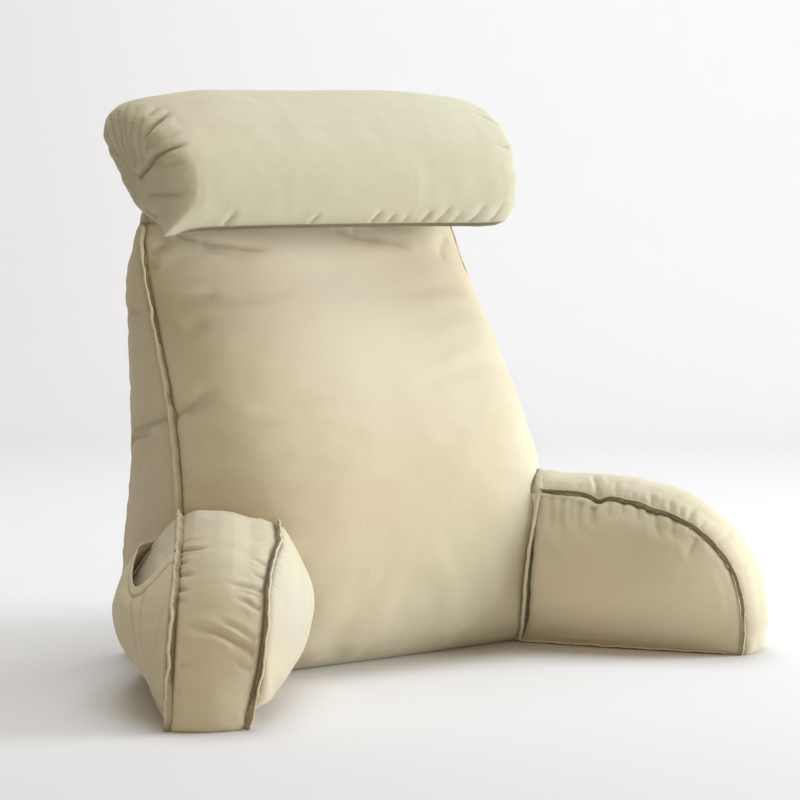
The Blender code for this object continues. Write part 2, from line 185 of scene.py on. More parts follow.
# The level ways across an arm's strip, from inner to outer seam, and ahead to its tip.
def acrossWay(arm):
    return np.array([arm["side"] * np.cos(arm["turn"]), np.sin(arm["turn"]), 0])


def aheadWay(arm):
    return np.array([arm["side"] * np.sin(arm["turn"]), -np.cos(arm["turn"]), 0])


# A point of an arm: ahead of its root, across from its inner seam and above the floor.
def armPlace(arm, ahead, across, z):
    turn, lift = arm["turn"], z / arm["height"]
    tip = tipTaper * np.clip(1 - lift, 0, None) ** 2 * np.clip(ahead / arm["reach"], 0, 1)
    across = across + tip * (1 - 2 * np.clip(across / stripWidth, 0, 1))
    x = armRoot["x"] + armRoot["leanX"] * lift + ahead * np.sin(turn) + across * np.cos(turn)
    y = frontY + armRoot["leanY"] * lift - ahead * np.cos(turn) + across * np.sin(turn)
    return np.stack([arm["side"] * x, y, z + 0 * x], axis=-1)


# The same the other way round: how far ahead and across a point lies.
def armLocal(arm, points):
    turn, lift = arm["turn"], points[:, 2] / arm["height"]
    x = arm["side"] * points[:, 0] - armRoot["x"] - armRoot["leanX"] * lift
    y = points[:, 1] - frontY - armRoot["leanY"] * lift
    return x * np.sin(turn) - y * np.cos(turn), x * np.cos(turn) + y * np.sin(turn)


# An arm's outline, ahead and up: a superellipse over the top and down the tip.
def armCurve(arm, steps):
    angle, power = np.linspace(0, np.pi / 2, steps), 2 / armPower
    return arm["reach"] * np.sin(angle) ** power, arm["height"] * np.cos(angle).clip(0) ** power


# The same with the distance along it.
def armOutline(arm):
    ahead, z = armCurve(arm, 400)
    return ahead, z, np.r_[0, np.cumsum(np.hypot(np.diff(ahead), np.diff(z)))]


# How far a side panel bulges there, as a share of its full bulge.
def panelRise(arm, ahead, z):
    spread = (np.clip(ahead, 0, None) / arm["reach"]) ** armPower + (z / arm["height"]) ** armPower
    dome = np.clip(1 - spread ** (armBulge["spread"] / armPower), 0, 1)
    return armBulge["gain"] * dome ** armBulge["power"]


def runOf(path):
    return np.r_[0, np.cumsum(np.linalg.norm(np.diff(path, axis=0), axis=1))]


def evenSteps(path, step=0.002):
    run = runOf(path)
    at = np.linspace(0, run[-1], max(4, int(run[-1] / step)))
    return np.stack([np.interp(at, run, path[:, k]) for k in range(3)], axis=1)


# Seam between strip and side panel, from a little behind the root down to the foot of the tip.
def armSeam(arm, across):
    ahead, z = armCurve(arm, 260)
    ahead = np.r_[np.linspace(-seamTail, 0, 12)[:-1], ahead]
    return evenSteps(armPlace(arm, ahead, across, np.r_[np.full(11, arm["height"]), z]))


# Front seam of the backrest: height, half width and how far it lies behind the front line.
frontSeam = np.array([
    [0.000, 0.226, 0.008], [0.060, 0.239, 0.007], [0.140, 0.237, 0.023], [0.210, 0.230, 0.042],
    [0.250, 0.226, 0.056], [0.290, 0.222, 0.074], [0.335, 0.218, 0.099], [0.380, 0.213, 0.124],
    [0.420, 0.209, 0.146], [0.448, 0.206, 0.156], [0.462, 0.202, 0.159]])
# Corner seams of the rear panel: height, half width and depth.
rearSeam = np.array([[0.0, 0.206, 0.089], [0.06, 0.218, 0.098], [0.21, 0.206, 0.0965],
                     [0.335, 0.207, 0.0945], [0.462, 0.195, 0.092], [0.512, 0.177, 0.081]])


def backSeam(side):
    z = np.linspace(0.01, frontSeam[-1, 0], 260)
    half, behind = (np.interp(z, frontSeam[:, 0], frontSeam[:, k]) for k in (1, 2))
    return evenSteps(np.stack([side * half, frontY + behind, z], axis=1))


def rearAway(points):
    half, y = (np.interp(points[:, 2], rearSeam[:, 0], rearSeam[:, k]) for k in (1, 2))
    return np.hypot(np.abs(points[:, 0]) - half, points[:, 1] - y)


def pipingPoints(node):
    return np.unique(np.round(readPoints(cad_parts[node].data), 5), axis=0)


# Middle line of a piping solid: its points are put in order and averaged eight at a time, as
# many as one of its rings has.
def pipingLine(node, order):
    points = pipingPoints(node)
    points = points[np.argsort(order(points))]
    points = points[:len(points) // 8 * 8].reshape(-1, 8, 3).mean(1)
    return evenSteps(smoothed(points, 3), weltStep)


# How far along a path each point lies, how far from it, and which of its points is nearest.
def alongPath(points, path):
    run, ways = runOf(path), unit(np.gradient(path, axis=0))
    along, away, nearest = (np.empty(len(points)) for _ in range(3))
    for part in np.array_split(np.arange(len(points)), len(points) // batch + 1):
        best = ((points[part, None] - path[None]) ** 2).sum(2).argmin(1)
        offset = points[part] - path[best]
        slip = (offset * ways[best]).sum(1)
        along[part] = run[best] + slip
        away[part] = np.sqrt(np.maximum((offset ** 2).sum(1) - slip ** 2, 0))
        nearest[part] = best
    return along, away, nearest.astype(int)


def awayFrom(points, lines):
    return np.minimum(*(alongPath(points, line)[1] for line in lines))


# The nearest places on a piece's surface to some points.
def ontoSurface(points, target, gap=0.0):
    mesh = bpy.data.meshes.new("probe")
    mesh.from_pydata(points.tolist(), [], [])
    probe = linkNew("probe", mesh)
    wrap = probe.modifiers.new("wrap", "SHRINKWRAP")
    wrap.target = target
    wrap.wrap_method = "NEAREST_SURFACEPOINT"
    wrap.wrap_mode = "ABOVE_SURFACE"
    wrap.offset = gap
    found = readPoints(probe.evaluated_get(bpy.context.evaluated_depsgraph_get()).data)
    bpy.data.objects.remove(probe)
    return found


# Troughs that leave a seam at `at`, lean, widen and fade out at `reach`: each is a bell curve
# across its own line with a low lip on both sides.
def puckerField(along, away, rows):
    at, width, depth, reach, lean = (column[None] for column in rows.T)
    share = np.clip(away[:, None] / reach, 0, 1)
    side = along[:, None] - at - lean * away[:, None]
    trough = bell(side, width * (1 + 0.7 * share))
    lip = bell(np.abs(side) / width - 2.2, 0.9)
    return (-depth * (trough - 0.3 * lip) * (1 - share) ** 1.2).sum(1)


# Puckers strewn along a seam at uneven distances.
def strewn(seed, start, stop, spacing, width, depth, reach):
    draw = np.random.default_rng(seed)
    count = max(2, int((stop - start) / spacing))
    at = np.linspace(start, stop, count) + draw.uniform(-0.38, 0.38, count) * spacing
    rough = draw.uniform(0.45, 1.25, (4, count))
    return np.stack([at, width * rough[0], depth * rough[1], reach * rough[2],
                     0.25 * (rough[3] - 0.85)], axis=1)


# A crease through some places, with its width, depth and the fades at both ends in tenths of a
# millimetre and the darkness of its painted shade in hundredths.
def crease(places, width, depth, first, last, dark, soft=2.4, lip=0.14):
    return dict(places=np.array(places), width=width / 10000, depth=depth / 10000, soft=soft,
                lip=lip, fade=(first / 10000, last / 10000), dark=dark / 100)


# A table's creases: the five numbers above, then the places in tenths of a millimetre.
def creases(rows, **more):
    return [crease(np.array(row[5:]) / 10000, *row[:5], **more) for row in rows]


# Height and painted shade of creases along paths on the surface: each is a narrow bell curve
# inside one wider by `soft`, less a low lip beside it, fading toward both ends.
def creaseField(points, rows):
    height, shade = np.zeros(len(points)), np.zeros(len(points))
    end = 0.002  # how soon a crease stops beyond its path
    for row in rows:
        path, width, (first, last) = row["path"], row["width"], row["fade"]
        low, high = path.min(0) - 5 * width, path.max(0) + 5 * width
        near = np.flatnonzero(((points > low) & (points < high)).all(1))
        if not len(near):
            continue
        along, away, _ = alongPath(points[near], path)
        left = np.linalg.norm(np.diff(path, axis=0), axis=1).sum() - along
        weight = eased(along / max(first, 1e-6) + (first == 0)) * eased(left / max(last, 1e-6))
        weight *= eased(1 + (along + end) / end) * eased(1 + (left + end) / end)
        wide = width * row["soft"]
        trough = 0.6 * bell(away, width) + 0.4 * bell(away, wide)
        lip = bell(away - 1.6 * wide, 0.7 * wide)
        height[near] -= row["depth"] * weight * (trough - row["lip"] * lip)
        # painted shade down in the crease
        dark = row["dark"] * weight * bell(away, 0.8 * width)
        shade[near] = np.maximum(shade[near], dark)
    return height, shade


# A smooth curve through a few places (Catmull-Rom), laid onto a pad.
def laidPath(places, pad):
    curve = places
    if len(places) > 2:
        padded = np.concatenate([2 * places[:1] - places[1:2], places,
                                 2 * places[-1:] - places[-2:-1]])
        t = np.linspace(0, 1, 12, endpoint=False)[:, None, None]
        a, b, c, d = padded[:-3], padded[1:-2], padded[2:-1], padded[3:]
        curve = 0.5 * (2 * b + (c - a) * t + (2 * a - 5 * b + 4 * c - d) * t ** 2
                       + (3 * b - a - 3 * c + d) * t ** 3)
        curve = np.concatenate([curve.transpose(1, 0, 2).reshape(-1, 3), places[-1:]])
    return ontoSurface(evenSteps(curve), pad)


def creasesOn(pad, rows):
    return [dict(row, path=laidPath(row["places"], pad)) for row in rows]


# A path on a strip, through places given as distance along the seam and share across.
def stripPath(arm, pad, places):
    along, across = places.T
    ahead, z, run = armOutline(arm)
    ahead, z = np.interp(along, run, ahead), np.interp(along, run, z)
    return laidPath(armPlace(arm, ahead, across, z), pad)


# A path on a side panel, through places given as how far ahead of the root and how high.
def panelPath(arm, pad, places, face="inner"):
    ahead, z = places.T
    rise = panelRise(arm, ahead, z)
    across = -arm["inner"] * rise if face == "inner" else stripWidth + arm["outer"] * rise
    return laidPath(armPlace(arm, ahead, across, z), pad)


# A copy of a solid as an even mesh.
def padFrom(name, node, look):
    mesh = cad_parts[node].data.copy()
    mesh.materials.clear()
    faceOutwards(mesh, 1e-5)
    thing = linkNew(name, mesh)
    remesh = thing.modifiers.new("voxels", "REMESH")
    remesh.mode = "VOXEL"
    remesh.voxel_size = look["voxel"]
    bakeModifiers(thing)
    mesh = thing.data
    setDown(mesh, evenOut(readPoints(mesh), readEdges(mesh), look["rounds"]))
    return thing


# Takes the last unevenness out of a pad, except within `reach` of its seams.
def calm(thing, away, rounds, reach=0.014, back=-0.51):
    points = readPoints(thing.data)
    even = evenOut(points, readEdges(thing.data), rounds, back=back)
    points += (even - points) * (1 - bell(away, reach))[:, None]
    setDown(thing.data, points)


# The cloth simulation: its length in frames and its settings.
coverFrames = 20
coverLook = {"quality": 2, "mass": 0.2, "tension_stiffness": 12, "compression_stiffness": 12,
             "bending_stiffness": 0.3, "use_pressure": True, "uniform_pressure_force": 4.0}


# Lets the cover billow while its seams and sole are held, keeps a share of the small wrinkles,
# none deeper than `cap`, and makes the mesh finer.
def billow(thing, held, look):
    before = readPoints(thing.data)
    group = thing.vertex_groups.new(name="sewn")
    group.add(np.flatnonzero(held).tolist(), 1.0, "REPLACE")
    cloth = thing.modifiers.new("cover", "CLOTH")
    for key, value in coverLook.items():
        setattr(cloth.settings, key, value)
    cloth.settings.effector_weights.gravity = 0
    cloth.settings.vertex_group_mass = "sewn"
    cloth.settings.shrink_min = -look["slack"]
    cloth.collision_settings.use_collision = False
    cloth.point_cache.frame_start = 1
    cloth.point_cache.frame_end = coverFrames
    for number in range(1, coverFrames + 1):
        bpy.context.scene.frame_set(number)
    bakeModifiers(thing)
    bpy.context.scene.frame_set(1)
    edges, moved = readEdges(thing.data), readPoints(thing.data) - before
    moved = look["share"] * (evenOut(moved, edges, 4, back=0.5)
                             - evenOut(moved, edges, 60, back=0.5))
    length = np.linalg.norm(moved, axis=1, keepdims=True)
    moved = moved * np.minimum(1, look["cap"] / np.maximum(length, 1e-9))
    print(thing.name, "wrinkles up to", round(float(length.max()) * 1000, 1), "mm")
    writePoints(thing.data, before + moved)
    thing.vertex_groups.clear()
    finer = thing.modifiers.new("finer", "SUBSURF")
    finer.levels = 1
    finer.render_levels = 1
    bakeModifiers(thing)


# Gives a piece its cloth, hangs it on the root and hides the solid it stands in for.
def dress(thing, node, slotName):
    thing.data.materials.clear()
    thing.data.materials.append(cloths[slotName])
    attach(thing, "root")
    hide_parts(node)


# Moves a pad's points along its normals, less so close to the floor, writes its painted shade and
# dresses it.
def finishPad(thing, node, slotName, height, shade):
    mesh = thing.data
    points = readPoints(mesh)
    low = np.clip(points[:, 2] / floorFade, 0, 1)[:, None]
    setDown(mesh, points + readNormals(mesh) * height[:, None] * low)
    writePaintedShade(mesh, shade)
    dress(thing, node, slotName)
    print(thing.name, "done:", len(points), "points")
    return thing


# One socket of a node tree, with sums that add Math nodes.
class Wire:
    def __init__(self, graph, socket):
        self.graph = graph
        self.socket = socket

    def math(self, operation, first, second):
        return self.graph.node("ShaderNodeMath", dict(operation=operation), {0: first, 1: second})

    def __add__(self, other):
        return self.math("ADD", self, other)

    def __radd__(self, other):
        return self.math("ADD", other, self)

    def __sub__(self, other):
        return self.math("SUBTRACT", self, other)

    def __rsub__(self, other):
        return self.math("SUBTRACT", other, self)

    def __mul__(self, other):
        return self.math("MULTIPLY", self, other)

    def __rmul__(self, other):
        return self.math("MULTIPLY", other, self)


class Graph:
    def __init__(self, name):
        self.material = bpy.data.materials.new(name)
        self.material.use_nodes = True
        self.tree = self.material.node_tree
        self.tree.nodes.clear()

    def node(self, kind, settings=None, sockets=None, out=0):
        made = self.tree.nodes.new(kind)
        for key, value in (settings or {}).items():
            setattr(made, key, value)
        for key, value in (sockets or {}).items():
            socket = made.inputs[key]
            if isinstance(value, Wire):
                self.tree.links.new(value.socket, socket)
            else:
                socket.default_value = value
        return Wire(self, made.outputs[out]) if len(made.outputs) else made

    # Blends two colours; 6, 7 and 2 are the Mix node's colour sockets.
    def blend(self, share, first, second):
        return self.node("ShaderNodeMix", dict(data_type="RGBA"),
                         {0: share, 6: first, 7: second}, 2)

    def shaded(self, sockets):
        shader = self.node("ShaderNodeBsdfPrincipled", {}, sockets)
        self.node("ShaderNodeOutputMaterial", {}, {"Surface": shader})
        return self.material


# Patches are places where the cloth takes on another tone, most of them painted light and painted
# shade, such as a lighter one under the roll where its shadow falls: place, radius, share and tone.
clothLook = dict(
    warm=(0.555, 0.474, 0.330), green=(0.535, 0.500, 0.350), pale=(0.655, 0.598, 0.448),
    fuzzAndShadeTone=(0.105, 0.072, 0.030), paintedShadeShare=0.9, tint=1.0,
    roughness=0.86, sheen=0.22, sheenRoughness=0.5, sheenTint=(1.0, 0.97, 0.88, 1.0), specular=0.2,
    driftScale=4.2, brushScale=30.0, fuzzScale=260.0, napScale=1100.0, napDepth=0.00028,
    patches=[[(0.022, -0.035, 0.315), 0.18, 0.75, (0.670, 0.655, 0.515)],
             [(-0.020, 0.000, 0.440), 0.17, 0.85, (0.750, 0.705, 0.560)],
             [(-0.165, -0.020, 0.390), 0.14, 0.50, (0.460, 0.370, 0.250)],
             [(0.250, -0.165, 0.225), 0.13, 0.95, (0.760, 0.750, 0.620)],
             [(0.280, -0.300, 0.080), 0.10, 0.55, (0.760, 0.670, 0.480)],
             [(0.195, -0.205, 0.055), 0.12, 0.55, (0.700, 0.565, 0.400)],
             [(-0.360, -0.170, 0.080), 0.12, 0.55, (0.720, 0.630, 0.460)],
             [(-0.225, -0.275, 0.100), 0.09, 0.60, (0.460, 0.500, 0.430)]])


def opaque(colour, tint=1.0):
    return tuple(part * tint for part in colour) + (1.0,)


# Brushed microfibre: a slow drift between two hues, soft patches of painted light and shade,
# brush marks, a mottled fuzz over a fine nap, and painted shade down in seams, creases and folds.
def clothMaterial(name, **changes):
    look, graph = dict(clothLook, **changes), Graph(name)
    tint, place = look["tint"], graph.node("ShaderNodeTexCoord", out="Object")

    def noise(scale, detail, roughness):
        return graph.node("ShaderNodeTexNoise", {}, {
            "Vector": place, "Scale": look[scale], "Detail": detail, "Roughness": roughness})

    drift = noise("driftScale", 2.0, 0.4)
    brush = noise("brushScale", 3.0, 0.5)
    fuzz = noise("fuzzScale", 3.0, 0.6)
    nap = noise("napScale", 2.0, 0.6)
    seam = graph.node("ShaderNodeAttribute", dict(attribute_name="seam"), out="Fac")
    hue = graph.node("ShaderNodeMapRange", {}, {"Value": drift, "From Min": 0.38, "From Max": 0.62})
    base = graph.blend(hue, opaque(look["warm"], tint), opaque(look["green"], tint))
    # patches of painted light and painted shade
    for middle, radius, most, tone in look["patches"]:
        away = graph.node("ShaderNodeVectorMath", dict(operation="DISTANCE"), {0: place, 1: middle},
                          "Value")
        share = graph.node("ShaderNodeMapRange", dict(interpolation_type="SMOOTHSTEP"), {
            "Value": away, "From Min": radius, "From Max": 0.0, "To Max": most})
        base = graph.blend(share, base, opaque(tone, tint))
    dark = opaque(look["fuzzAndShadeTone"])
    base = graph.blend(brush * 0.6 - 0.1, base, opaque(look["pale"], tint))
    base = graph.blend((1.0 - nap) * 0.14 + (1.0 - fuzz) * 0.06, base, dark)
    # painted shade of seams, creases and folds, as each piece writes it
    base = graph.blend(seam * look["paintedShadeShare"], base, dark)
    height = nap * 0.6 + fuzz * 1.0 + brush * 2.0
    bump = graph.node("ShaderNodeBump", {}, {
        "Height": height, "Distance": look["napDepth"], "Strength": 0.8})
    return graph.shaded({
        "Base Color": base, "Roughness": nap * 0.1 + (look["roughness"] - 0.05), "Normal": bump,
        "Sheen Weight": look["sheen"], "Sheen Roughness": look["sheenRoughness"],
        "Sheen Tint": look["sheenTint"], "Specular IOR Level": look["specular"]})


cloths = dict(
    body_cloth=clothMaterial("bodyCloth"),
    roll_cloth=clothMaterial("rollCloth", warm=(0.500, 0.450, 0.325), pale=(0.590, 0.560, 0.425),
                             green=(0.475, 0.472, 0.340), patches=[]),
    welt_cloth=clothMaterial("weltCloth", warm=(0.63, 0.53, 0.37), patches=[], tint=1.08))
print("materials done")


# Where the arm seams leave their curve. tugs: along, how far toward the middle of the side panel,
# over what length. sway: along, how far toward the strip.
seamDrift = dict(
    rightInner=dict(tugs=[[0.073, 0.0060, 0.008], [0.135, 0.0012, 0.008], [0.182, -0.0010, 0.012]]),
    leftInner=dict(tugs=[[0.210, 0.0010, 0.010]],
                   sway=[[0.0, -0.012], [0.105, -0.011], [0.150, -0.004], [0.190, -0.001],
                         [0.225, -0.004], [0.270, -0.007], [0.342, -0.008]]),
    leftOuter=dict(tugs=[[0.010, -0.0065, 0.095], [0.150, -0.0010, 0.015]]), rightOuter=dict())


# How far each point of a seam is drawn off its own curve.
def driftOf(arm, line, drift):
    run = runOf(line) - seamTail
    ahead, z, length = armOutline(arm)
    down, forward = np.gradient(ahead, length), np.gradient(z, length)
    move = np.zeros_like(line)
    for at, shift, width in drift.get("tugs", []):
        size = shift * bell(run - at, width)
        move += (size * np.interp(run, length, forward))[:, None] * aheadWay(arm)
        move[:, 2] -= size * np.interp(run, length, down)
    sway = np.array(drift.get("sway", [[0.0, 0.0]]))
    return move + np.interp(run, sway[:, 0], sway[:, 1])[:, None] * acrossWay(arm)


seamBase = dict(backLeft=backSeam(-1), backRight=backSeam(1))
seamMove = {name: 0.0 * line for name, line in seamBase.items()}
for armSide, arm in arms.items():
    for edgeName, edgeAcross in (("Inner", 0.0), ("Outer", stripWidth)):
        name = armSide + edgeName
        seamBase[name] = armSeam(arm, edgeAcross)
        seamMove[name] = driftOf(arm, seamBase[name], seamDrift[name])
seamLines = {name: seamBase[name] + seamMove[name] for name in seamBase}


# Pulls the cloth in along a seam: a narrow groove in a wider soft hollow.
def pinch(away, depth, width=0.008):
    return -depth * (0.5 * bell(away, width) + 0.5 * bell(away, 0.4 * width))


# A pad's cloth is held within `held` of its seams and up to `sole` above the floor. foldShade
# are lines of painted shade in the folds beside the piping: how far from the seam, width and
# darkness. Puckers: first and last place along the seam, spacing, width, depth and reach.
backLook = dict(voxel=0.0062, rounds=24, cap=0.0016, share=0.5, slack=0.05, fill=0.8,
                held=0.006, sole=0.004, pinch=0.0028, topPinch=0.0016, rearPinch=0.0024,
                dark=(0.9, 0.05), foldShade=[(-0.0024, 0.0022, 1), (0.0030, 0.0018, 0.5)],
                gussetPuckers=(0.13, 0.46, 0.024, 0.0040, 0.0010, 0.026),
                frontPuckers=(0.13, 0.46, 0.028, 0.0045, 0.0008, 0.028),
                rearPuckers=(0.03, 0.46, 0.022, 0.0048, 0.0010, 0.032))
# Creases of the backrest, with places as x, y and z.
backCreases = [
    [42, 52, 200, 450, 22, (-2220, 725, 2430), (-2220, -13, 2606), (-2220, -198, 2652),
     (-2187, -330, 2685), (-1889, -400, 2794), (-1650, -450, 2840)],
    [36, 40, 120, 300, 22, (-2220, 723, 2355), (-2220, 300, 2420), (-2220, -27, 2471)],
    [46, 80, 60, 100, 45, (-2220, 880, 2320), (-2220, 650, 2390)],
    [50, 26, 100, 250, 12, (-2100, -345, 2640), (-1920, -395, 2700), (-1700, -440, 2745)],
    [40, 24, 80, 200, 12, (-2150, 780, 3690), (-2150, 346, 3723)],
    [36, 20, 80, 150, 12, (-2150, 200, 4300), (-2150, 500, 4370)],
    [50, 18, 200, 200, 6, (-1960, 450, 3810), (-1650, 200, 3825), (-1380, 150, 3814)],
    [50, 14, 200, 200, 5, (-1900, 100, 3547), (-1600, 0, 3440)],
    [36, 42, 40, 350, 24, (-1750, 400, 4620), (-1370, 360, 4490), (-1010, 300, 4450),
     (-620, 280, 4360)],
    [60, 18, 100, 300, 6, (-1500, 360, 4500), (-1180, 260, 4370), (-850, 200, 4270)],
    [42, 30, 40, 300, 16, (280, 360, 4640), (620, 300, 4545), (960, 280, 4460)],
    [46, 26, 40, 300, 12, (500, 360, 4630), (920, 300, 4505), (1280, 280, 4380)],
    [46, 20, 40, 200, 6, (1900, 400, 4520), (1720, 300, 4350), (1660, 220, 4150)],
    [40, 22, 40, 150, 10, (-2050, 500, 4350), (-1900, 440, 4445), (-1780, 420, 4520)]]
# Soft folds of the rear panel in tenths of a millimetre: x and height of their ends, width, depth.
rearFolds = [
    (-1960, 300, -1200, 750, 90, 30), (-1900, 600, -1350, 880, 70, 20),
    (1980, 340, 1250, 850, 90, 30), (1880, 700, 1400, 1000, 70, 18),
    (-1980, 2360, -1200, 2220, 70, 26), (1960, 2460, 1320, 2340, 70, 22),
    (-1800, 4500, -1200, 4050, 80, 26), (1800, 4520, 1280, 4000, 80, 26),
    (-400, 160, -300, 700, 90, 18), (600, 160, 520, 620, 80, 16)]


def rearCrease(a, b, c, d, width, depth):
    a, b, c, d = np.array((a, b, c, d)) / 10000
    return crease([(a, 0.110, b), ((a + c) / 2, 0.112, (b + d) / 2 + 0.004), (c, 0.112, d)],
                  width, depth, 120, 300, 5)


def buildBack():
    look, lines = backLook, (seamLines["backLeft"], seamLines["backRight"])
    thing = padFrom("backPad", "back_cushion", look)
    points = readPoints(thing.data)
    near, z = awayFrom(points, lines), points[:, 2]
    edges = np.minimum.reduce([near, rearAway(points), z, np.abs(z - topSeamZ)])
    calm(thing, edges, rounds=60, reach=0.035, back=0.5)
    billow(thing, (near < look["held"]) | (z < look["sole"]), look)
    points, upright = readPoints(thing.data), np.abs(readNormals(thing.data)[:, 2])
    x, y, z = points.T
    folds = [rearCrease(*row) for row in rearFolds]
    height, shade = creaseField(points, creasesOn(thing, creases(backCreases) + folds))
    for side, line, dark in zip((-1, 1), lines, look["dark"]):
        along, away, best = alongPath(points, line)
        onSide = x * side > 0.12
        rear = passing(y - line[best, 1], 0.002)
        signed = away * np.where(rear > 0.5, 1, -1)
        level = onSide * np.clip(1 - (upright - 0.8) / 0.15, 0, 1)
        height += onSide * pinch(away, look["pinch"])
        height += level * rear * puckerField(along, away, strewn(11 + side, *look["gussetPuckers"]))
        height += level * (1 - rear) * puckerField(
            along, away, strewn(21 + side, *look["frontPuckers"]))
        # painted shade in the folds beside the piping
        for at, width, share in look["foldShade"]:
            shade = np.maximum(shade, onSide * share * dark * bell(signed - at, width))
    # the seam between the front, the gussets and the narrow top, with painted shade in its groove
    level = np.abs(z - topSeamZ)
    height += pinch(level, look["topPinch"])
    shade = np.maximum(shade, 0.75 * bell(level, 0.0020))
    # the corner seams of the rear panel, with painted shade along them
    away = rearAway(points)
    height += pinch(away, look["rearPinch"])
    height += puckerField(z, away, strewn(5, *look["rearPuckers"]))
    shade = np.maximum(shade, 0.7 * bell(away, 0.0022))
    return finishPad(thing, "back_cushion", "body_cloth", height, shade)


# The cloth is also held behind y = root. toe and heel swell the strip's foot, tuck draws in the
# foot of the outer panel, foot pushes that of the inner one out, and tail takes the strip's rear
# end up to the backrest.
armLook = dict(voxel=0.0034, rounds=30, cap=0.0010, share=0.28, slack=0.05, fill=0.85,
               held=0.005, sole=0.003, root=-0.06, pinch=0.0030, carried=0.026,
               foldShade=[(0.0026, 0.0024, 1), (-0.0026, 0.0016, 0.4)],
               creaseShare=dict(left=0.9, right=0.6), toe=0.008,
               heel=dict(left=0.003, right=0.006), tuck=dict(left=0.009, right=0.0),
               foot=dict(left=0.010, right=0.0), tail=dict(left=0.0, right=0.009),
               plumpFrom=dict(left=0.03, right=0.12),
               plumpRise=dict(left=(0.10, 0.15), right=(0.138, 0.168)),
               stripPuckers=(0.02, 0.33, 0.014, 0.0024, 0.0005, 0.016),
               panelPuckers=(0.02, 0.33, 0.017, 0.0032, 0.0007, 0.022))
# How much higher each strip is stuffed over the top, by the place across it.
plump = dict(
    left=[[-0.020, 0.0], [0.0, 0.001], [0.0187, 0.002], [0.034, 0.005], [0.048, 0.0058],
          [0.063, 0.0057], [0.075, 0.0045], [0.084, 0.0023], [0.090, 0.0]],
    right=[[-0.005, 0.0], [0.010, 0.0015], [0.030, 0.0050], [0.050, 0.0070], [0.070, 0.0070],
           [0.088, 0.0040], [0.105, 0.0]])
# Creases of the strips, with places as distance along the seam and across the strip.
stripCreases = dict(left=[
    [24, 50, 20, 160, 42, (1305, 849), (1362, 772), (1420, 680), (1440, 553)],
    [30, 16, 20, 140, 8, (1105, 833), (1190, 716), (1210, 593)],
    [24, 16, 20, 140, 12, (1215, 845), (1270, 760), (1310, 660)],
    [22, 16, 20, 120, 14, (1440, 845), (1485, 780), (1520, 720)],
    [24, 30, 20, 120, 24, (1567, 843), (1605, 772), (1642, 699)],
    [20, 15, 20, 100, 12, (1665, 845), (1700, 780), (1730, 710)],
    [24, 32, 20, 140, 25, (1750, 850), (1807, 746), (1848, 641)],
    [24, 32, 20, 140, 25, (1957, 849), (2003, 765), (2023, 672)],
    [26, 14, 20, 120, 10, (2110, 845), (2140, 770), (2165, 680)],
    [34, 23, 300, 20, 15, (2371, 800), (2434, 631), (2508, 375), (2603, 200), (2706, 23)],
    [26, 20, 200, 20, 18, (2365, 483), (2427, 299), (2502, 160), (2559, 47)],
    [24, 22, 200, 20, 15, (2459, 536), (2527, 324), (2597, 155), (2654, 35)],
    [20, 18, 20, 100, 16, (1620, 26), (1590, 117), (1559, 197)],
    [22, 20, 20, 100, 18, (1828, 25), (1814, 119), (1786, 198)],
    [24, 28, 20, 220, 22, (2010, 24), (2003, 127), (1990, 226), (1963, 428)],
    [22, 22, 20, 180, 18, (2088, 30), (2069, 129), (2056, 237), (2049, 373)],
    [20, 14, 20, 100, 12, (2165, 29), (2126, 106), (2107, 185)],
    [24, 26, 20, 200, 20, (2234, 23), (2209, 110), (2158, 191), (2126, 338)],
    [34, 24, 40, 160, 10, (2793, 796), (2780, 708), (2814, 556)],
    [30, 16, 20, 100, 8, (3034, 793), (3018, 741), (3002, 670)],
    [28, 18, 20, 140, 10, (2834, 21), (2807, 120), (2780, 255)]], right=[
    [26, 50, 10, 160, 34, (730, 10), (690, 130), (610, 290), (550, 420)],
    [24, 28, 10, 160, 20, (940, 30), (900, 160), (830, 320)],
    [20, 14, 10, 100, 10, (1020, 30), (1000, 110), (960, 190)],
    [20, 18, 10, 100, 12, (1120, 30), (1090, 120), (1050, 200)],
    [20, 14, 10, 100, 10, (1210, 30), (1180, 100), (1140, 170)],
    [24, 26, 10, 140, 18, (1340, 30), (1300, 140), (1240, 260)],
    [20, 14, 10, 100, 10, (1440, 30), (1410, 110), (1370, 190)],
    [24, 24, 10, 140, 16, (1570, 30), (1530, 140), (1470, 260)],
    [20, 14, 10, 100, 9, (1690, 30), (1650, 120), (1600, 210)],
    [24, 24, 10, 140, 15, (1790, 40), (1760, 160), (1710, 300)],
    [22, 14, 10, 100, 8, (1930, 30), (1920, 130), (1900, 220)],
    [32, 22, 10, 180, 10, (2190, 30), (2200, 190), (2190, 400)],
    [26, 14, 10, 120, 8, (480, 30), (470, 120), (450, 220)],
    [30, 14, 10, 120, 6, (220, 30), (210, 140), (200, 260)],
    [34, 18, 10, 180, 8, (2540, 30), (2560, 160), (2580, 320)],
    [34, 16, 10, 180, 7, (2900, 30), (2890, 160), (2870, 320)]])
